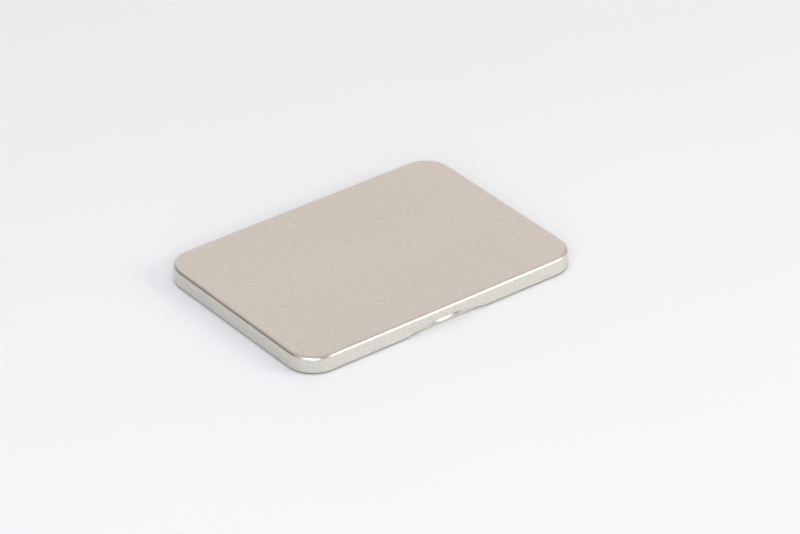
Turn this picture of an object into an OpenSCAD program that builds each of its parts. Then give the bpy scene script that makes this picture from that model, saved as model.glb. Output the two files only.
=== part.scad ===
// Slim hinged card tin: a drawn tinplate lid that covers the whole height of a shallow base,
// joined at the rear by two wire-pin hinges and opened at the front by a thumb arch.
// The front faces -Y, the hinges are at +Y, and the table is at z = 0.

/* [Tin] */
// Length of the closed tin, from side to side
tin_w = 115; // [95:1:150]
// Depth of the closed tin, from the thumb arch to the hinge side
tin_d = 80; // [55:1:110]
// Height of the closed tin above the table
tin_h = 6.5; // [6.2:0.1:12]
// Outside corner radius of the lid, seen from above
corner_r = 10.2; // [5:0.1:16]
// Thickness of the tinplate
sheet_t = 0.25; // [0.2:0.01:0.28]

/* [Lid] */
// Outside radius between the lid's top and its skirt
lid_edge_r = 1.4; // [0.8:0.1:1.5]
// Height of the skirt's lower edge above the table
skirt_lift = 0.45; // [0.45:0.05:0.6]
// Height of the folded safe edge on the skirt
hem_h = 1.1; // [0.8:0.05:1.3]

/* [Thumb arch] */
// Height of the arch's crown above the table
arch_top = 2.95; // [2.6:0.05:3.5]
// Radius of the arch in the skirt's lower edge
arch_r = 52; // [35:1:80]
// How far the corners are eased where the arch meets the straight edge
arch_ease = 0.35; // [0.3:0.01:0.45]

/* [Base] */
// Gap between the lid's skirt and the wall of the base
wall_gap = 0.55; // [0.5:0.05:0.8]
// Gap between the rim of the base and the lid that lies on it
rest_gap = 0.2; // [0.15:0.01:0.3]
// Outside radius between the floor and the wall of the base
base_edge_r = 0.4; // [0.3:0.1:0.6]
// Height of the folded safe edge on the rim
rim_h = 1.0; // [0.8:0.05:1.2]

/* [Thumb dent] */
// Width of the dent that the thumbnail goes into
dent_w = 13; // [8:0.5:16]
// Height of the dent
dent_h = 3.2; // [2.6:0.1:3.4]
// Depth of the dent
dent_depth = 0.65; // [0.5:0.05:0.8]
// Outside radius of the dent's lip
dent_lip_r = 0.6; // [0.5:0.05:0.8]
// Height of the dent's centre above the table
dent_z = 2.65; // [2.4:0.05:2.7]

/* [Hinges] */
// Distance between the middles of the two hinges
hinge_spacing = 60; // [30:1:70]
// Width of the tongue that is cut out of the base's wall, and of its knuckle
base_knuckle_w = 6; // [4:0.5:10]
// Width of each knuckle on the lid
lid_knuckle_w = 4; // [2:0.5:6]
// Gap between neighbouring knuckles
knuckle_gap = 0.2; // [0.15:0.05:0.4]
// Height of the lowest knuckle above the table
hinge_lift = 0.15; // [0.05:0.05:0.25]
// Diameter of the wire pins
pin_d = 1.0; // [0.8:0.05:1.1]
// Radial clearance of a pin in the knuckle of the base
pin_run = 0.05; // [0.03:0.01:0.08]
// Radial clearance of a pin in the knuckles of the lid, which grip it
pin_grip = 0.01; // [0.01:0.01:0.02]
// Inside radius of the bend where a tongue leaves the wall
tongue_bend_r = 0.3; // [0.2:0.05:0.35]
// Open seam where a curled knuckle ends, in degrees
curl_seam = 35; // [20:5:50]

/* [Hidden] */
$fn = 64;
arch_fn = 720;
nose_fn = 32;
cut = 1;                    // how far a cutting shape runs past what it cuts
relief = 0.3;               // slit beside a tongue or a knuckle
seam_reach = 3;             // how many radii the wedge that opens a seam is long

// Lid
flat_w = tin_w - 2 * corner_r;
fold_t = 2 * sheet_t;

// Thumb arch: the centre of its circle, and the angle at which its safe edge is below the skirt
arch_z = arch_top - arch_r;
arch_half_angle = acos((skirt_lift - arch_z) / (arch_r + hem_h));

// Base
base_inset = sheet_t + wall_gap;
base_w = tin_w - 2 * base_inset;
base_d = tin_d - 2 * base_inset;
base_r = corner_r - base_inset;
rim_z = tin_h - sheet_t - rest_gap;

// Thumb dent, in its own upright section: the lip's centre and the bowl's centre, which stands in
// front of the wall. The lip starts a touch in front of the wall, so that it meets it at an angle
lip_start = 0.02;
lip_blend = 0.002;
lip_y = dent_lip_r - lip_start;
lip_z = dent_h / 2 + sqrt(dent_lip_r * dent_lip_r - lip_y * lip_y);
dent_full = dent_depth + lip_start;
bowl_r = (lip_z * lip_z / dent_full + dent_full) / 2 - dent_lip_r;
bowl_y = dent_depth - bowl_r;

// Hinges
pin_r = pin_d / 2;
lid_bore_r = pin_r + pin_grip;
base_bore_r = pin_r + pin_run;
lid_curl_r = lid_bore_r + sheet_t;
base_curl_r = base_bore_r + sheet_t;
axis_y = tin_d / 2 - sheet_t + lid_curl_r;
axis_z = hinge_lift + base_curl_r;
bend_z = axis_z + base_bore_r - tongue_bend_r;
hinge_w = base_knuckle_w + 2 * lid_knuckle_w + 2 * knuckle_gap;
window_gap = 0.5;
window_z = max(axis_z + base_curl_r + window_gap, skirt_lift + hem_h);
pin_recess = 0.1;
tongue_seam_at = 95;         // direction, in degrees, in which a tongue's curl starts

// A rectangle with round corners, centred on the origin
module round_rect(w, d, r) {
    union() {
        square([w - 2 * r, d], center = true);
        square([w, d - 2 * r], center = true);
        for (x = [-1, 1], y = [-1, 1])
            translate([x * (w / 2 - r), y * (d / 2 - r)])
                circle(r);
    }
}

// Carries the children, a section drawn with x = 0 on the outer face and x growing outwards,
// along one straight side of a round rectangle whose outer face is half_depth from the middle
module straight_side(length, half_depth) {
    translate([-length / 2, 0, 0])
        rotate([90, 0, 90])
            linear_extrude(length)
                translate([half_depth, 0])
                    children();
}

// Carries the same section round a whole round rectangle
module sweep_round(w, d, r) {
    for (side = [0, 180])
        rotate([0, 0, side]) straight_side(w - 2 * r, d / 2) children();
    for (side = [90, -90])
        rotate([0, 0, side]) straight_side(d - 2 * r, w / 2) children();
    for (x = [0, 1], y = [0, 1])
        mirror([x, 0, 0])
            mirror([0, y, 0])
                translate([w / 2 - r, d / 2 - r, 0])
                    rotate_extrude(angle = 90)
                        translate([r, 0])
                            children();
}

// Quarter of a ring of sheet, bent from a vertical wall at x = 0 towards -x above z
module edge_bend(r, z) {
    translate([-r, z])
        intersection() {
            difference() {
                circle(r);
                circle(r - sheet_t);
            }
            square(r + cut);
        }
}

// Folded safe edge: the sheet turned back against its inner face, with a round nose at y = 0
module hem_section(height) {
    translate([-sheet_t, sheet_t]) {
        intersection() {
            circle(sheet_t);
            translate([-fold_t, -fold_t]) square([2 * fold_t, fold_t]);
        }
        translate([-sheet_t, 0]) square([fold_t, height - sheet_t]);
    }
}

// Section of the lid's edge and skirt
module skirt_section() {
    edge_bend(lid_edge_r, tin_h - lid_edge_r);
    translate([-sheet_t, skirt_lift + sheet_t])
        square([sheet_t, tin_h - lid_edge_r - skirt_lift - sheet_t]);
    translate([0, skirt_lift]) hem_section(hem_h);
}

// What the arch takes out of the front skirt, up to the middle of the arch's own safe edge
module arch_cutter() {
    translate([0, -tin_d / 2 + fold_t + cut, arch_z])
        rotate([90, 0, 0])
            cylinder(h = fold_t + 2 * cut, r = arch_r + arch_ease, $fn = arch_fn);
}

// The safe edge that follows the arch: its section turned about the arch's centre
module arch_hem() {
    intersection() {
        translate([0, 0, arch_z])
            rotate([90, 0, 0])
                rotate([0, 0, 90 - arch_half_angle])
                    rotate_extrude(angle = 2 * arch_half_angle, $fn = arch_fn)
                        translate([arch_r, tin_d / 2])
                            rotate(-90)
                                mirror([1, 0])
                                    hem_section(hem_h, $fn = nose_fn);
        translate([-flat_w / 2, -tin_d / 2 - cut, skirt_lift + arch_ease])
            cube([flat_w, fold_t + 2 * cut, tin_h]);
    }
}

// Section of a knuckle: a ring of sheet with an open seam that starts at the angle seam_at
module curl(bore_r, seam_at) {
    reach = seam_reach * (bore_r + sheet_t);
    difference() {
        circle(bore_r + sheet_t);
        circle(bore_r);
        polygon([
            [0, 0],
            reach * [cos(seam_at), sin(seam_at)],
            reach * [cos(seam_at + curl_seam), sin(seam_at + curl_seam)]
        ]);
    }
}

// Carries a section drawn in the Y-Z plane along X, centred on x
module along_x(x, length) {
    translate([x - length / 2, 0, 0])
        rotate([90, 0, 90])
            linear_extrude(length)
                children();
}

// The skirt runs down on the inner side of the pin and curls under it and up again
module lid_knuckle(x) {
    along_x(x, lid_knuckle_w) {
        translate([tin_d / 2 - sheet_t, axis_z])
            square([sheet_t, window_z - axis_z + sheet_t]);
        translate([axis_y, axis_z])
            curl(lid_bore_r, 180 - curl_seam);
    }
}

// Opening in the rear skirt that leaves room for one hinge
module hinge_window(x) {
    translate([x - hinge_w / 2 - relief, tin_d / 2 - fold_t - cut, skirt_lift - cut])
        cube([hinge_w + 2 * relief, fold_t + 2 * cut, window_z - skirt_lift + cut]);
}

module lid() {
    color([0.79, 0.75, 0.70]) {
        translate([0, 0, tin_h - sheet_t])
            linear_extrude(sheet_t)
                round_rect(tin_w - 2 * lid_edge_r, tin_d - 2 * lid_edge_r, corner_r - lid_edge_r);
        difference() {
            sweep_round(tin_w, tin_d, corner_r) skirt_section();
            arch_cutter();
            for (x = [-1, 1])
                hinge_window(x * hinge_spacing / 2);
        }
        arch_hem();
        for (x = [-1, 1], side = [-1, 1])
            lid_knuckle(x * hinge_spacing / 2
                + side * (base_knuckle_w + lid_knuckle_w + 2 * knuckle_gap) / 2);
    }
}

// Section of the base's edge, wall and inward-folded rim
module wall_section() {
    mirror([0, 1]) edge_bend(base_edge_r, -base_edge_r);
    translate([-sheet_t, base_edge_r])
        square([sheet_t, rim_z - sheet_t - base_edge_r]);
    translate([0, rim_z]) mirror([0, 1]) hem_section(rim_h);
}

// Upright section of the dent, from its axis to its lip: a hollow arc that turns into a round lip.
// grow = sheet_t gives the inner face of the sheet
module dent_section(grow) {
    difference() {
        union() {
            intersection() {
                translate([0, bowl_y]) circle(bowl_r + grow);
                translate([0, bowl_y]) square(2 * bowl_r);
            }
            polygon([[0, bowl_y], [lip_z, bowl_y], [lip_z, lip_y]]);
        }
        translate([lip_z, lip_y]) circle(dent_lip_r - grow + lip_blend);
    }
}

// The section turned about its axis, which points into the tin, and drawn out sideways
module dent_form(grow) {
    translate([0, -base_d / 2, dent_z])
        scale([dent_w / dent_h, 1, 1])
            rotate([-90, 0, 0])
                rotate_extrude()
                    dent_section(grow);
}

// Sheet pushed inwards behind the dent
module dent_bulge() {
    intersection() {
        dent_form(sheet_t);
        translate([-dent_w, -base_d / 2, 0])
            cube([2 * dent_w, 2 * dent_depth + sheet_t, rim_z]);
    }
}

// A tongue cut free from the wall bends outwards through the lid's window and curls over the pin
module hinge_tongue(x) {
    bend_y = base_d / 2 + tongue_bend_r;
    along_x(x, base_knuckle_w) {
        translate([base_d / 2 - sheet_t, base_edge_r])
            square([sheet_t, bend_z - base_edge_r]);
        translate([bend_y, bend_z])
            intersection() {
                difference() {
                    circle(tongue_bend_r + sheet_t);
                    circle(tongue_bend_r);
                }
                translate([-cut, 0]) square(cut);
            }
        translate([bend_y, axis_z + base_bore_r])
            square([axis_y - bend_y, sheet_t]);
        translate([axis_y, axis_z])
            curl(base_bore_r, tongue_seam_at);
    }
}

// Gap that a tongue leaves in the wall and the rim
module tongue_gap(x) {
    translate([x - base_knuckle_w / 2 - relief, base_d / 2 - fold_t - cut, bend_z])
        cube([base_knuckle_w + 2 * relief, fold_t + 2 * cut, tin_h]);
}

module base() {
    color([0.72, 0.71, 0.67]) {
        linear_extrude(sheet_t)
            round_rect(base_w - 2 * base_edge_r, base_d - 2 * base_edge_r, base_r - base_edge_r);
        difference() {
            union() {
                sweep_round(base_w, base_d, base_r) wall_section();
                dent_bulge();
            }
            dent_form(0);
            for (x = [-1, 1])
                tongue_gap(x * hinge_spacing / 2);
        }
        for (x = [-1, 1])
            hinge_tongue(x * hinge_spacing / 2);
    }
}

module hinge_pin(x) {
    color([0.62, 0.62, 0.62])
        translate([x - hinge_w / 2 + pin_recess, axis_y, axis_z])
            rotate([0, 90, 0])
                cylinder(h = hinge_w - 2 * pin_recess, r = pin_r);
}

module hinge_pin_left() { hinge_pin(-hinge_spacing / 2); }
module hinge_pin_right() { hinge_pin(hinge_spacing / 2); }

base();
lid();
hinge_pin_left();
hinge_pin_right();
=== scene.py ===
# %% [markdown]
# # A slim hinged card tin
#
# The object is a pressed tinplate tin, closed, on a pale table. It has four pieces: a base, a lid
# and two wire hinge pins. Their shapes, folds and radii are already exact in the loaded parts, so
# this lesson is about what makes bare metal look like metal: a measured camera, a room for it to
# reflect, and a finish with the grain, roughness and marks of drawn sheet.
#
# First the parts are loaded.

import math

import bpy
from mathutils import Matrix, Vector


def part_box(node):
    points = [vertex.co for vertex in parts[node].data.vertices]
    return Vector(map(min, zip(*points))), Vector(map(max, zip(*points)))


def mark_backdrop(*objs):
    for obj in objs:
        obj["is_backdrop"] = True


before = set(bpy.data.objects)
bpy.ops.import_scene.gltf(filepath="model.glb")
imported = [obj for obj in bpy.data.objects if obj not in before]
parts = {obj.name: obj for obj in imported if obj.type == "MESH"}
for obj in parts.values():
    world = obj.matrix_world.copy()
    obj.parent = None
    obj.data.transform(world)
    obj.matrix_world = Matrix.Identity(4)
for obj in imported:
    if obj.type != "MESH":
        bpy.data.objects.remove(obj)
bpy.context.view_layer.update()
print("parts:", sorted(parts))

# %% [markdown]
# ## Where the camera stands
#
# A camera can be placed by eye, or by the angles from which the object was seen. Here the angles
# are known: the camera stands in front of the tin and to its left, looks down on it by about a
# third of a right angle, and leans by one degree.
#
# Its three axes are built from the two angles, and the sideways and upward ones are then turned by
# the lean.

# %% Camera axes
AZIMUTH = math.radians(-38.96)
ELEVATION = math.radians(32.18)
LEAN = math.radians(0.99)


def camera_axes(azimuth, elevation, lean):
    """Right, up and backward directions of a camera that looks at the origin."""
    back = Vector((math.sin(azimuth) * math.cos(elevation),
                   -math.cos(azimuth) * math.cos(elevation),
                   math.sin(elevation)))
    right = Vector((math.cos(azimuth), math.sin(azimuth), 0.0))
    up = back.cross(right)
    turned_right = right * math.cos(lean) + up * math.sin(lean)
    turned_up = up * math.cos(lean) - right * math.sin(lean)
    return turned_right, turned_up, back


camera_right, camera_up, camera_back = camera_axes(AZIMUTH, ELEVATION, LEAN)
print("direction from the tin to the camera:", [round(v, 3) for v in camera_back])

# %% [markdown]
# ## The lens and the aim
#
# The camera stands well back with a long lens, which keeps the tin's far edges nearly parallel to
# the near ones. The focal length is given in pixels of the picture and turned into millimetres of
# lens for a sensor of the usual width.
#
# The aim is a place in the picture: the middle of the tin's underside sits a little left of the
# centre. So the camera moves aside by as much as those pixels measure at the tin's distance.

# %% Add the camera
CAMERA_DISTANCE = 1.3956
FOCAL_LENGTH_PX = 4176.0
PICTURE_W, PICTURE_H = 800, 534
ORIGIN_PX = (371.3, 271.1)
SENSOR_MM = 36.0
NEAREST_SEEN, FARTHEST_SEEN = 0.05, 50.0


def add_camera(right, up, back):
    """Adds the camera with these axes, so that the origin falls on its place in the picture."""
    metres_per_px = CAMERA_DISTANCE / FOCAL_LENGTH_PX
    aside = (ORIGIN_PX[0] - PICTURE_W / 2) * metres_per_px
    above = (PICTURE_H / 2 - ORIGIN_PX[1]) * metres_per_px
    data = bpy.data.cameras.new("camera")
    data.sensor_width = SENSOR_MM
    data.lens = FOCAL_LENGTH_PX / PICTURE_W * SENSOR_MM
    data.clip_start, data.clip_end = NEAREST_SEEN, FARTHEST_SEEN
    camera = bpy.data.objects.new("camera", data)
    bpy.context.scene.collection.objects.link(camera)
    place = back * CAMERA_DISTANCE - right * aside - up * above
    axes = Matrix((right, up, back)).transposed().to_4x4()
    camera.matrix_world = Matrix.Translation(place) @ axes
    bpy.context.scene.camera = camera
    return camera


camera = add_camera(camera_right, camera_up, camera_back)
print("camera at", [round(v, 3) for v in camera.location], "lens", round(camera.data.lens, 1), "mm")

# %% [markdown]
# ## Helpers for node materials
#
# Every finish below is a small graph of nodes. Written out in full, a graph takes three lines for
# each node, so these helpers keep it short to read. The first adds a node of any kind and sets its
# inputs: a number is written into the input, and an output of another node is joined to it. The
# others wrap the few nodes that are used again and again.

# %% Node helpers
def add_node(tree, kind, inputs=None, **settings):
    """Adds a node, sets its properties, then its inputs by name or number."""
    node = tree.nodes.new(kind)
    for name, value in settings.items():
        setattr(node, name, value)
    for name, value in (inputs or {}).items():
        if isinstance(value, bpy.types.NodeSocket):
            tree.links.new(value, node.inputs[name])
        else:
            node.inputs[name].default_value = value
    return node


def maths(tree, operation, a, b=0.0):
    """A Math node, from its operation and its two inputs; returns the output."""
    return add_node(tree, "ShaderNodeMath", {0: a, 1: b}, operation=operation).outputs[0]


def smooth_step(tree, value, low, high):
    """0 below low, 1 above high, and smooth in between."""
    return add_node(tree, "ShaderNodeMapRange",
                    {"Value": value, "From Min": low, "From Max": high},
                    interpolation_type="SMOOTHSTEP").outputs[0]


def spread(tree, pattern, low, high):
    """A pattern from 0 to 1, spread between low and high."""
    return add_node(tree, "ShaderNodeMapRange",
                    {"Value": pattern, "To Min": low, "To Max": high}).outputs[0]


print("node helpers ready")

# %% [markdown]
# ## Helpers for colour
#
# Real surfaces are never one flat colour, so most colours below are a tone that a pattern makes a
# little darker and a little lighter. One helper mixes two colours, and another gives a colour that
# range of tones.

# %% Colour helpers
WHITE = (1.0, 1.0, 1.0)
BLACK = (0.0, 0.0, 0.0)


def mix_colour(tree, factor, a, b, blend="MIX"):
    """A colour Mix node; returns the output."""
    node = tree.nodes.new("ShaderNodeMix")
    node.data_type = "RGBA"
    node.blend_type = blend
    for socket, value in ((node.inputs[0], factor), (node.inputs[6], a), (node.inputs[7], b)):
        if isinstance(value, bpy.types.NodeSocket):
            tree.links.new(value, socket)
        elif socket.type == "RGBA":
            socket.default_value = (*value, 1.0)
        else:
            socket.default_value = value
    return node.outputs[2]


def toned(colour, factor):
    """A colour made lighter or darker by a factor."""
    return tuple(factor * c for c in colour)


def tones(tree, pattern, colour, depth):
    """The colour, made darker and lighter by a pattern, each way by depth."""
    return mix_colour(tree, pattern, toned(colour, 1 - depth), toned(colour, 1 + depth))


def new_material(name):
    """An empty node material with a Principled shader; returns the material, tree and shader."""
    material = bpy.data.materials.new(name)
    material.use_nodes = True
    tree = material.node_tree
    shader = tree.nodes["Principled BSDF"]
    return material, tree, shader


print("colour helpers ready")

# %% [markdown]
# ## The table's finish
#
# The table is a plain pale sheet. It does two jobs: it takes the soft shadow of the tin, and it is
# what the tin's side walls mirror, so its own brightness sets theirs. Behind the tin it fades to a
# slightly greyer tone, as a table does further from the light, and a faint mottle keeps it from
# looking like a flat fill.

# %% Table finish
TABLE_COLOUR = (0.905, 0.92, 0.90)
FAR_COLOUR = (0.835, 0.85, 0.825)
FADE_TOWARDS = (0.35, 0.94, 0.0)
FADE_START, FADE_END = -0.12, 0.45
MARKS_PER_METRE, MARKS_DEPTH = 9.0, 0.015
TABLE_ROUGHNESS, TABLE_SPECULAR = 0.8, 0.2


def table_finish():
    """Pale matt sheet that fades a little behind the tin."""
    material, tree, shader = new_material("pale_table")
    place = add_node(tree, "ShaderNodeTexCoord").outputs["Object"]
    away = add_node(tree, "ShaderNodeVectorMath", {0: place, 1: FADE_TOWARDS},
                    operation="DOT_PRODUCT").outputs["Value"]
    fade = smooth_step(tree, away, FADE_START, FADE_END)
    paper = mix_colour(tree, fade, TABLE_COLOUR, FAR_COLOUR)
    mottle = add_node(tree, "ShaderNodeTexNoise",
                      {"Vector": place, "Scale": MARKS_PER_METRE, "Detail": 3.0}).outputs["Fac"]
    marks = mix_colour(tree, mottle, WHITE, toned(WHITE, 1 - MARKS_DEPTH))
    tree.links.new(mix_colour(tree, 1.0, paper, marks, "MULTIPLY"), shader.inputs["Base Color"])
    shader.inputs["Roughness"].default_value = TABLE_ROUGHNESS
    shader.inputs["Specular IOR Level"].default_value = TABLE_SPECULAR
    print("table finish has", len(tree.nodes), "nodes")
    return material


pale_table = table_finish()

# %% [markdown]
# ## The table
#
# One square is enough, as long as it runs past the picture on all sides. It lies a hair below the
# tin, because two faces in exactly the same place would both claim to be the one that is seen. The
# gap is far too small to show, and the contact shadow still closes.

# %% Make the table
TABLE_SIZE = 8.0
HAIR_GAP = 0.00002


def add_table(material):
    """Adds the table as one square face."""
    half = TABLE_SIZE / 2
    mesh = bpy.data.meshes.new("table")
    corners = [(x, y, -HAIR_GAP)
               for x, y in ((-half, -half), (half, -half), (half, half), (-half, half))]
    mesh.from_pydata(corners, [], [(0, 1, 2, 3)])
    mesh.materials.append(material)
    table = bpy.data.objects.new("table", mesh)
    bpy.context.scene.collection.objects.link(table)
    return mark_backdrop(table)


add_table(pale_table)
print("table", TABLE_SIZE, "m square,", 1000 * HAIR_GAP, "mm below the tin")

# %% [markdown]
# ## The room that the metal reflects
#
# Bare metal has almost no colour of its own: it shows the room. The tin's rounded edges act as a
# chart of that room. They show a pale backdrop near the horizon, a warm wall above it that gets
# lighter further up, and a dimmer ceiling.
#
# Four soft-edged places are laid over that. A dark one behind the tin, on the left, draws the dark
# line along the left edge. A dark one in front, between the two lights, makes the short break
# beside the near corner. A dim one on the right darkens the far right corner, and a bright one
# just below the horizon lights the fine line along the far right edge.
#
# The room could be a picture of a studio, but a few smooth steps, worked out from the direction of
# each ray, are easier to tune and leave nothing sharp in the reflections.

# %% Room colours
BACKDROP_COLOUR = (0.86, 0.82, 0.80)
WALL_COLOUR = (0.79, 0.712, 0.684)
UPPER_WALL_COLOUR = (0.84, 0.758, 0.727)
CEILING_COLOUR = (0.64, 0.63, 0.66)
WALL_START, WALL_FULL = 0.02, 0.30
UPPER_START, UPPER_FULL = 0.44, 0.62
CEILING_START, CEILING_FULL = 0.58, 0.88
PLACES = {
    "behind": dict(azimuth=137, elevation=3, edge=58, core=10, colour=(0.24, 0.215, 0.185)),
    "in front": dict(azimuth=-95, elevation=38, edge=36, core=12, colour=(0.26, 0.24, 0.26)),
    "right": dict(azimuth=5, elevation=20, edge=30, core=10, colour=(0.58, 0.52, 0.45)),
    "far right": dict(azimuth=48, elevation=-6, edge=23, core=8, colour=(1.32, 1.20, 1.05)),
}


def direction_from(azimuth, elevation):
    """A unit vector from an azimuth, counted from +X towards +Y, and an elevation in degrees."""
    turn, rise = math.radians(azimuth), math.radians(elevation)
    return Vector((math.cos(turn) * math.cos(rise),
                   math.sin(turn) * math.cos(rise),
                   math.sin(rise)))


def room_colour(tree, ray):
    """Colour of the room in the direction of a ray."""
    height = add_node(tree, "ShaderNodeSeparateXYZ", {0: ray}).outputs["Z"]
    on_wall = smooth_step(tree, height, WALL_START, WALL_FULL)
    on_upper_wall = smooth_step(tree, height, UPPER_START, UPPER_FULL)
    on_ceiling = smooth_step(tree, height, CEILING_START, CEILING_FULL)
    room = mix_colour(tree, on_wall, BACKDROP_COLOUR, WALL_COLOUR)
    room = mix_colour(tree, on_upper_wall, room, UPPER_WALL_COLOUR)
    room = mix_colour(tree, on_ceiling, room, CEILING_COLOUR)
    for place in PLACES.values():
        centre = direction_from(place["azimuth"], place["elevation"])
        nearness = add_node(tree, "ShaderNodeVectorMath", {0: ray, 1: centre},
                            operation="DOT_PRODUCT").outputs["Value"]
        inside = smooth_step(tree, nearness, math.cos(math.radians(place["edge"])),
                             math.cos(math.radians(place["core"])))
        room = mix_colour(tree, inside, room, place["colour"])
    return room


print("places in the room:", ", ".join(PLACES))

# %% [markdown]
# ## Light from the room
#
# The same room is mirrored by the metal and lights the table, and the two want different
# strengths: the colours above suit the reflections, and the table needs about a third more, a
# little bluer, for its pale tone and its cool shadow.
#
# The Light Path node tells the two uses apart. Rays from the camera, and rays that a mirror or
# glass sends on, see the colours as they are. All other rays carry light, and so does a mirrored
# ray that has already been scattered by the table, which is what the Diffuse Depth is asked for.

# %% Build the room
ROOM_LIGHT = (1.265, 1.305, 1.375)
NOT_YET_SCATTERED = 0.5


def build_room():
    """Makes the world from the room's colours."""
    world = bpy.data.worlds.new("studio")
    world.use_nodes = True
    bpy.context.scene.world = world
    tree = world.node_tree
    ray = add_node(tree, "ShaderNodeTexCoord").outputs["Generated"]
    path = add_node(tree, "ShaderNodeLightPath").outputs
    mirrored = maths(tree, "MAXIMUM", path["Is Glossy Ray"], path["Is Transmission Ray"])
    not_by_table = maths(tree, "LESS_THAN", path["Diffuse Depth"], NOT_YET_SCATTERED)
    seen = maths(tree, "MAXIMUM", maths(tree, "MULTIPLY", mirrored, not_by_table),
                 path["Is Camera Ray"])
    strength = mix_colour(tree, seen, ROOM_LIGHT, WHITE)
    tree.links.new(mix_colour(tree, 1.0, room_colour(tree, ray), strength, "MULTIPLY"),
                   tree.nodes["Background"].inputs["Color"])
    return world


room = build_room()
print("room built from", len(room.node_tree.nodes), "nodes")

# %% [markdown]
# ## Two soft lights
#
# The white band along the front edge and the bright patch on the near corner are two different
# lights. One large soft light stands to the right and in front: it makes the band, and throws the
# tin's shadow to the left. It is slightly warm. A second and larger one, slightly bluish, stands
# about where the camera is: it makes the corner patch, and fills the shadow with its cooler colour.
#
# Each light is given by the direction it comes from and by how wide and tall it looks from the
# tin, because that is what its reflection shows. The panel's real size follows from its distance,
# and its power from its size and the brightness that it should show.

# %% Add the lights
LIGHT_DISTANCE = 1.8
SOFT_LIGHTS = {
    "soft_light_right": dict(azimuth=-47, elevation=26, wide=25, tall=19,
                             radiance=4.4, colour=(1.0, 0.93, 0.79)),
    "soft_light_left": dict(azimuth=-132, elevation=28, wide=50, tall=36,
                            radiance=2.35, colour=(0.83, 0.91, 1.01)),
}


def add_soft_light(name, azimuth, elevation, wide, tall, radiance, colour):
    """A panel that looks wide by tall degrees from the tin, and as bright as radiance."""
    towards = direction_from(azimuth, elevation)
    data = bpy.data.lights.new(name, "AREA")
    data.shape = "RECTANGLE"
    data.size = 2 * LIGHT_DISTANCE * math.tan(math.radians(wide) / 2)
    data.size_y = 2 * LIGHT_DISTANCE * math.tan(math.radians(tall) / 2)
    data.energy = radiance * math.pi * data.size * data.size_y
    data.color = colour
    light = bpy.data.objects.new(name, data)
    light.location = towards * LIGHT_DISTANCE
    light.rotation_euler = (-towards).to_track_quat("-Z", "Y").to_euler()
    light.visible_camera = False
    bpy.context.scene.collection.objects.link(light)
    print(f"{name}: {data.size:.2f} x {data.size_y:.2f} m, {data.energy:.1f} W")
    return light


for light_name, light_values in SOFT_LIGHTS.items():
    add_soft_light(light_name, **light_values)

# %% [markdown]
# ## The grain of rolled sheet
#
# Tinplate is thin steel with a skin of tin. The rolls that finish the sheet leave fine flecks, a
# little longer along the rolling direction, which is the length of this tin. Seen from a metre
# away they are the faint, sandy life of the surface.
#
# They could be modelled as a bump alone, but a fleck is about a millimetre long and a few
# thousandths deep, so most of what is seen is a change of tone. A noise that is stretched along X
# gives the flecks, and it will drive the tone and a very shallow bump. It leaves the roughness
# alone: metal whose roughness changes from fleck to fleck makes a noisy picture.

# %% Grain
def stretched(tree, place, length, width, turn=0.0, shift=0.0):
    """Coordinates in which one cell is length long, and width across, along a turned direction."""
    return add_node(tree, "ShaderNodeMapping",
                    {"Vector": place, "Location": (shift, shift, shift),
                     "Rotation": (0.0, 0.0, math.radians(turn)),
                     "Scale": (1 / length, 1 / width, 1 / width)}).outputs[0]


def grain(tree, place, length, width, detail=2.0, **where):
    """A noise from 0 to 1 whose cells are length long and width across, in metres."""
    return add_node(tree, "ShaderNodeTexNoise",
                    {"Vector": stretched(tree, place, length, width, **where),
                     "Scale": 1.0, "Detail": detail}).outputs["Fac"]


print("grain ready")

# %% [markdown]
# ## Scuffs
#
# A tin that is handled has hair-fine scuffs where it slides over tables and cards, and they run
# in a few directions rather than one. Drawn lines would need a picture of them. Long, thin noises,
# cut off near their peaks, leave just the crests instead: short straight lines with clean metal
# between them, and as many as the finish asks for.

# %% Scuffs
SCUFF_LENGTH, SCUFF_WIDTH = 0.009, 0.0003
SCUFF_TURNS = (8.0, -27.0, 64.0)
SCUFF_SHIFT = 3.7
SCUFF_EDGE = 0.08


def scuffs(tree, place, sparse):
    """Lines of fine wear, 1 on a line and 0 off it; sparse, from 0.6 to 0.8, sets how few."""
    lines = 0.0
    for number, turn in enumerate(SCUFF_TURNS):
        crest = grain(tree, place, SCUFF_LENGTH, SCUFF_WIDTH, detail=0.0,
                      turn=turn, shift=SCUFF_SHIFT * number)
        line = smooth_step(tree, crest, sparse, sparse + SCUFF_EDGE)
        lines = maths(tree, "MAXIMUM", line, lines)
    return lines


print("scuffs run at", SCUFF_TURNS, "degrees")

# %% [markdown]
# ## Where shade is painted
#
# Some shade is painted into the colour of the metal: along the foot of the base, under the folded
# edge of the lid, and in the ends of the thumb dent. It could be painted on by hand, but a painted
# map has to be made again when a shape changes.
#
# Three small masks find these places from the coordinates of the piece itself, so the painted shade
# stays where it is when the lid swings open: one by height, one by distance from the wall, and one
# as a soft spot.

# %% Masks for painted shade
def below(tree, place, low, high):
    """1 below the height low, 0 above the height high, in metres."""
    height = add_node(tree, "ShaderNodeSeparateXYZ", {0: place}).outputs["Z"]
    return maths(tree, "SUBTRACT", 1.0, smooth_step(tree, height, low, high))


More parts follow.
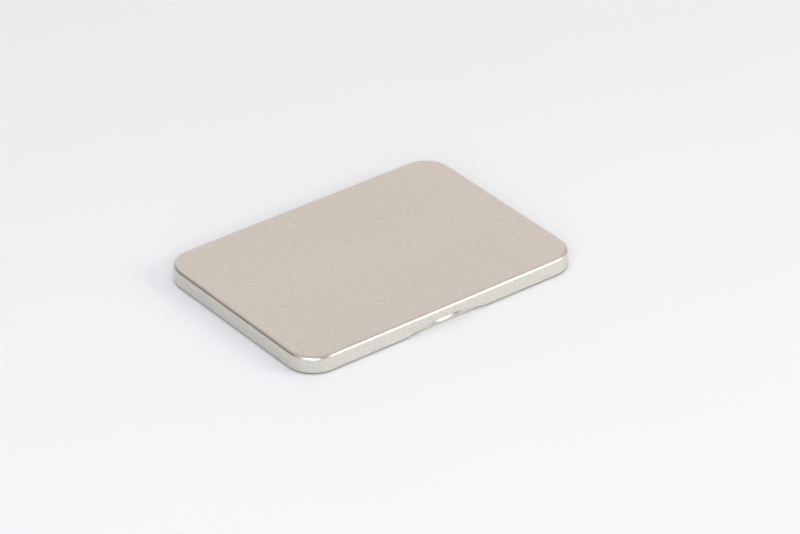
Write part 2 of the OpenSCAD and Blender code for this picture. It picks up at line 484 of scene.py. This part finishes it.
def beside_wall(tree, place, half_w, half_d, corner, reach):
    """1 on an upright wall with round corners, and 0 further inside it than reach."""
    axes = add_node(tree, "ShaderNodeSeparateXYZ", {0: place}).outputs
    past_w = maths(tree, "SUBTRACT", maths(tree, "ABSOLUTE", axes["X"]), half_w - corner)
    past_d = maths(tree, "SUBTRACT", maths(tree, "ABSOLUTE", axes["Y"]), half_d - corner)
    round_part = add_node(tree, "ShaderNodeCombineXYZ",
                          {0: maths(tree, "MAXIMUM", past_w, 0.0),
                           1: maths(tree, "MAXIMUM", past_d, 0.0)}).outputs[0]
    outwards = add_node(tree, "ShaderNodeVectorMath", {0: round_part},
                        operation="LENGTH").outputs["Value"]
    inwards = maths(tree, "MINIMUM", maths(tree, "MAXIMUM", past_w, past_d), 0.0)
    return smooth_step(tree, maths(tree, "ADD", outwards, inwards), corner - reach, corner)


def spot(tree, place, centre, size):
    """A soft spot: 1 at its centre, and 0 past its size along each axis."""
    offset = add_node(tree, "ShaderNodeVectorMath", {0: place, 1: centre},
                      operation="SUBTRACT").outputs["Vector"]
    scaled = add_node(tree, "ShaderNodeVectorMath", {0: offset, 1: [1 / s for s in size]},
                      operation="MULTIPLY").outputs["Vector"]
    away = add_node(tree, "ShaderNodeVectorMath", {0: scaled}, operation="LENGTH").outputs["Value"]
    return maths(tree, "SUBTRACT", 1.0, smooth_step(tree, away, 0.0, 1.0))


print("masks ready: by height, by wall and by spot")

# %% [markdown]
# ## The colour of tinplate
#
# Tin is a slightly warm, pale metal. Its tone changes at three sizes: the flecks of the grain,
# soft clouds of a few millimetres, and a broad mottle as large as a thumb, which is what stops the
# big flat lid from looking printed.
#
# Faces that look along X, the rolling direction, such as the two short walls, are painted a little
# darker than the others. This is painted shade, put into the colour of those walls.

# %% Tinplate colour
TIN_COLOUR = (0.775, 0.752, 0.690)
FLECKS = dict(length=0.0015, width=0.0013, detail=0.7)
CLOUDS = dict(length=0.006, width=0.004, detail=1.0, shift=5.1)
MOTTLE = dict(length=0.06, width=0.05, detail=1.0, shift=2.3)
FLECK_DEPTH, CLOUD_DEPTH, MOTTLE_DEPTH = 0.088, 0.015, 0.045
# painted shade on the faces that look along X
X_FACING_SHADE = 0.12


def clean_tin(tree, place, flecks, mottle):
    """Colour of clean tinplate, from its flecks, its clouds and its mottle."""
    colour = tones(tree, flecks, TIN_COLOUR, FLECK_DEPTH)
    for pattern, depth in ((grain(tree, place, **CLOUDS), CLOUD_DEPTH), (mottle, MOTTLE_DEPTH)):
        colour = mix_colour(tree, 1.0, colour, tones(tree, pattern, WHITE, depth), "MULTIPLY")
    return colour


def x_facing_shade(tree, normal):
    """How much painted shade a face gets when it looks along X, the rolling direction."""
    facing = add_node(tree, "ShaderNodeSeparateXYZ", {0: normal}).outputs["X"]
    return maths(tree, "MULTIPLY", maths(tree, "ABSOLUTE", facing), X_FACING_SHADE)


print("tin tones by", FLECK_DEPTH, CLOUD_DEPTH, MOTTLE_DEPTH, "each way")

# %% [markdown]
# ## Satin tinplate
#
# The finish is a fully metallic shader: no paint and no clear coat. A mirror finish would be too
# sharp and a matt one would lose the bright line along the edges, so the roughness is about 0.3,
# and drifts a little with the broad mottle. Scuffs, and the places where shade is painted in, are
# rougher than clean metal.
#
# The graph goes from clean to worn and shaded: first the colour of clean sheet, then the pale lines
# of the scuffs, then the painted shade on the faces that look along X, and the painted shade of the
# masks over everything.

# %% Satin tinplate finish
SCUFF_COLOUR = (0.88, 0.87, 0.84)
# painted shade: the tone multiplied into the colour where shade is painted
PAINTED_SHADE_TONE = (0.42, 0.40, 0.38)
SCUFF_SHOWS = 0.2
ROUGH_LOW, ROUGH_HIGH = 0.27, 0.35
PAINTED_SHADE_ROUGHER, SCUFF_ROUGHER = 0.25, 0.04
FLECK_BUMP = 0.1
BUMP_DEPTH = 0.00001


def add_bump(tree, shader, pattern, strength):
    """A bump of a hundredth of a millimetre at most, from a pattern."""
    bump = add_node(tree, "ShaderNodeBump",
                    {"Height": pattern, "Strength": strength, "Distance": BUMP_DEPTH})
    tree.links.new(bump.outputs["Normal"], shader.inputs["Normal"])


def satin_tinplate(name, sparse, painted_shade_mask):
    """Satin tinplate; sparse says how few scuffs it has, and the last argument makes the mask of
    its painted shade.
    """
    material, tree, shader = new_material(name)
    coordinates = add_node(tree, "ShaderNodeTexCoord").outputs
    place = coordinates["Object"]
    flecks = grain(tree, place, **FLECKS)
    mottle = grain(tree, place, **MOTTLE)
    lines = scuffs(tree, place, sparse)
    painted_shade = painted_shade_mask(tree, place)

    colour = clean_tin(tree, place, flecks, mottle)
    colour = mix_colour(tree, maths(tree, "MULTIPLY", lines, SCUFF_SHOWS), colour, SCUFF_COLOUR)
    # painted shade: faces that look along X are darkened
    colour = mix_colour(tree, x_facing_shade(tree, coordinates["Normal"]), colour, BLACK)
    # painted shade: the colour is darkened wherever the mask of painted shade is
    shaded_colour = mix_colour(tree, 1.0, colour, PAINTED_SHADE_TONE, "MULTIPLY")
    tree.links.new(mix_colour(tree, painted_shade, colour, shaded_colour), shader.inputs["Base Color"])

    rough = spread(tree, mottle, ROUGH_LOW, ROUGH_HIGH)
    rough = maths(tree, "ADD", rough, maths(tree, "MULTIPLY", painted_shade, PAINTED_SHADE_ROUGHER))
    rough = maths(tree, "ADD", rough, maths(tree, "MULTIPLY", lines, SCUFF_ROUGHER))
    tree.links.new(rough, shader.inputs["Roughness"])

    add_bump(tree, shader, flecks, FLECK_BUMP)
    shader.inputs["Metallic"].default_value = 1.0
    print(name, "has", len(tree.nodes), "nodes")
    return material


print("roughness of clean sheet from", ROUGH_LOW, "to", ROUGH_HIGH)

# %% [markdown]
# ## The lid
#
# The lid and the base are cut from the same sheet but don't look quite alike. The lid is handled
# and keeps clean: it has the fewest scuffs. Under its folded edge its colour is darkened as painted
# shade.
#
# Each piece gets one finish in all its slots, so that no face is left bare.

# %% Dress the lid
# heights of the painted shade under the folded edge
LID_SHADE_FROM, LID_SHADE_TO = 0.0009, 0.0005
LID_SPARSE = 0.80


def dress(part, material):
    """Gives a loaded part one finish in all its slots."""
    slots = parts[part].data.materials
    for i in range(len(slots)):
        slots[i] = material
    if not len(slots):
        slots.append(material)


def lid_painted_shade(tree, place):
    """Painted shade under the folded edge of the skirt."""
    return below(tree, place, LID_SHADE_TO, LID_SHADE_FROM)


dress("lid", satin_tinplate("lid_tinplate", LID_SPARSE, lid_painted_shade))

# %% [markdown]
# ## The base
#
# The base has more scuffs, from the cards inside and the table below. Its colour is darkened as
# painted shade along the foot of the outer wall, except under the thumb arch, where most of it is
# left out, and in the two ends of the thumb dent, more in the right one. The floor inside is left
# without it, so the mask of the foot ends just behind the wall.

# %% Dress the base
BASE_SPARSE = 0.76
# heights of the painted shade along the foot
FOOT_SHADE_FROM, FOOT_SHADE_TO = 0.0009, 0.0003
BASE_CORNER, FOOT_REACH = 0.0094, 0.0009
# how much of the painted shade along the foot is left out under the thumb arch, and where
ARCH_SHADE_CUT, ARCH_SHADE_CUT_SIZE = 0.9, (0.026, 0.01, 0.01)
# the painted shade in the two ends of the thumb dent: where it lies, how large and how dark it is
DENT_END_X, DENT_END_Z = 0.0048, 0.0018
DENT_END_SIZE = (0.0024, 0.002, 0.0011)
DENT_LEFT_SHADE, DENT_RIGHT_SHADE = 0.35, 0.8


def foot_painted_shade(tree, place, half_w, half_d):
    """Painted shade along the foot of the outer wall, mostly left out under the thumb arch."""
    foot = maths(tree, "MULTIPLY", below(tree, place, FOOT_SHADE_TO, FOOT_SHADE_FROM),
                 beside_wall(tree, place, half_w, half_d, BASE_CORNER, FOOT_REACH))
    under_arch = spot(tree, place, (0.0, -half_d, 0.0), ARCH_SHADE_CUT_SIZE)
    return maths(tree, "MULTIPLY", foot,
                 maths(tree, "SUBTRACT", 1.0, maths(tree, "MULTIPLY", under_arch, ARCH_SHADE_CUT)))


def base_painted_shade(tree, place):
    """Painted shade along the foot, and in the two ends of the thumb dent."""
    low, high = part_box("base")
    half_w = high[0]
    half_d = -low[1]
    painted_shade_mask = foot_painted_shade(tree, place, half_w, half_d)
    for side, strength in ((-1, DENT_LEFT_SHADE), (1, DENT_RIGHT_SHADE)):
        end = spot(tree, place, (side * DENT_END_X, -half_d, DENT_END_Z), DENT_END_SIZE)
        painted_shade_mask = maths(tree, "MAXIMUM", painted_shade_mask, maths(tree, "MULTIPLY", end, strength))
    return painted_shade_mask


dress("base", satin_tinplate("base_tinplate", BASE_SPARSE, base_painted_shade))

# %% [markdown]
# ## Drawn wire for the hinge pins
#
# A hinge pin is a piece of hard wire. Pulling the wire through a die leaves long, straight
# lines along it, much longer than the grain of the sheet, and cutting it to length leaves two ends
# that are rough and dull. The steel has no skin of tin, so it is greyer than the lid and the base.
#
# The lines are the same noise as before, stretched far more along X. The ends are found from the
# piece's own coordinates: the middle of each pin is known, and what is further out is an end.

# %% Wire finish
WIRE_COLOUR = (0.60, 0.595, 0.585)
DRAW_LINES = dict(length=0.02, width=0.00006, detail=2.0)
CUT_PITS = dict(length=0.0004, width=0.0004, detail=2.0)
DRAW_LINE_DEPTH = 0.2
CUT_DARKEST, CUT_LIGHTEST = 0.45, 0.7
CUT_END_DEPTH = 0.0004
WIRE_ROUGH_LOW, WIRE_ROUGH_HIGH = 0.2, 0.36
CUT_ROUGHER = 0.25
DRAW_LINE_BUMP = 0.3


def drawn_wire(name, pin):
    """Drawn steel wire with dull cut ends, for one pin."""
    material, tree, shader = new_material(name)
    place = add_node(tree, "ShaderNodeTexCoord").outputs["Object"]
    lines = grain(tree, place, **DRAW_LINES)
    pits = grain(tree, place, **CUT_PITS)
    low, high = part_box(pin)
    middle, half = (low[0] + high[0]) / 2, (high[0] - low[0]) / 2
    along = add_node(tree, "ShaderNodeSeparateXYZ", {0: place}).outputs["X"]
    away = maths(tree, "ABSOLUTE", maths(tree, "SUBTRACT", along, middle))
    end = smooth_step(tree, away, half - CUT_END_DEPTH, half)

    wire = tones(tree, lines, WIRE_COLOUR, DRAW_LINE_DEPTH)
    dull = mix_colour(tree, pits, toned(WIRE_COLOUR, CUT_DARKEST), toned(WIRE_COLOUR, CUT_LIGHTEST))
    tree.links.new(mix_colour(tree, end, wire, dull), shader.inputs["Base Color"])

    rough = spread(tree, lines, WIRE_ROUGH_LOW, WIRE_ROUGH_HIGH)
    rough = maths(tree, "ADD", rough, maths(tree, "MULTIPLY", end, CUT_ROUGHER))
    tree.links.new(rough, shader.inputs["Roughness"])

    add_bump(tree, shader, lines, DRAW_LINE_BUMP)
    shader.inputs["Metallic"].default_value = 1.0
    print(name, "is", round(2000 * half, 1), "mm long")
    return material


for pin in ("hinge_pin_left", "hinge_pin_right"):
    dress(pin, drawn_wire(pin + "_wire", pin))

# %% [markdown]
# ## Colours as they are
#
# The colours are shown as they are, with no film curve.

# %% Show the colours as they are
bpy.context.scene.view_settings.view_transform = "Standard"
